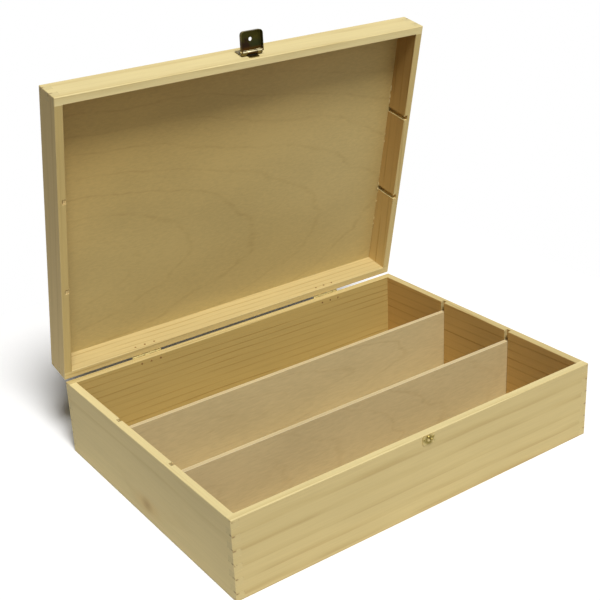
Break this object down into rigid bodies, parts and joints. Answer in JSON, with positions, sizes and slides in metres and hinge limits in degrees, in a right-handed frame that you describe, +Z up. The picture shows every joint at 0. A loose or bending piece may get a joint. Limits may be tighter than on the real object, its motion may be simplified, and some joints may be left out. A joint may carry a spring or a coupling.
{
  "type": "wooden wine box",
  "caption": "Shallow comb-jointed pine box with a hinged lid, a pressed hasp over a stud, and loose plywood dividers that make three bottle bays.",
  "frame": {"origin": "centre of the box's underside, on the surface that it stands on", "axes": "+X along the length to the right, -Y to the front where the clasp is, +Z up"},
  "size_m": [0.36, 0.2936, 0.3483],
  "materials": {
    "pine": "planed and sanded, untreated",
    "plywood": "sanded veneer, untreated",
    "brass_sheet": "pressed sheet, brass plated, lightly dulled",
    "steel_nails": "brass-plated nails"
  },
  "bodies": {
    "base": {"base_front_board": "pine", "base_back_board": "pine", "base_left_board": "pine", "base_right_board": "pine", "bottom_panel": "plywood", "left_hinge_base_leaf": "brass_sheet", "left_hinge_pin": "brass_sheet", "left_hinge_base_nails": "steel_nails", "right_hinge_base_leaf": "brass_sheet", "right_hinge_pin": "brass_sheet", "right_hinge_base_nails": "steel_nails", "keeper_plate": "brass_sheet", "keeper_nails": "steel_nails"},
    "lid": {"lid_front_board": "pine", "lid_back_board": "pine", "lid_left_board": "pine", "lid_right_board": "pine", "lid_panel": "plywood", "left_hinge_lid_leaf": "brass_sheet", "left_hinge_lid_nails": "steel_nails", "right_hinge_lid_leaf": "brass_sheet", "right_hinge_lid_nails": "steel_nails", "clasp_plate": "brass_sheet", "clasp_pin": "brass_sheet", "clasp_nails": "steel_nails"},
    "hasp": {"hasp": "brass_sheet"},
    "front_divider": {"front_divider": "plywood"},
    "rear_divider": {"rear_divider": "plywood"}
  },
  "joints": [
    {"name": "lid_hinge", "type": "hinge", "parent": "base", "child": "lid", "pos_m": [0, 0.13225, 0.0685], "axis": [-1, 0, 0], "range_deg": [-78, 102]},
    {"name": "hasp_hinge", "type": "hinge", "parent": "lid", "child": "hasp", "pos_m": [0, 0.0848, 0.3302], "axis": [-1, 0, 0], "range_deg": [-102, 68]},
    {"name": "front_divider_slide", "type": "slide", "parent": "base", "child": "front_divider", "axis": [0, 0, 1], "range_m": [0, 0.03]},
    {"name": "rear_divider_slide", "type": "slide", "parent": "base", "child": "rear_divider", "axis": [0, 0, 1], "range_m": [0, 0.03]}
  ]
}
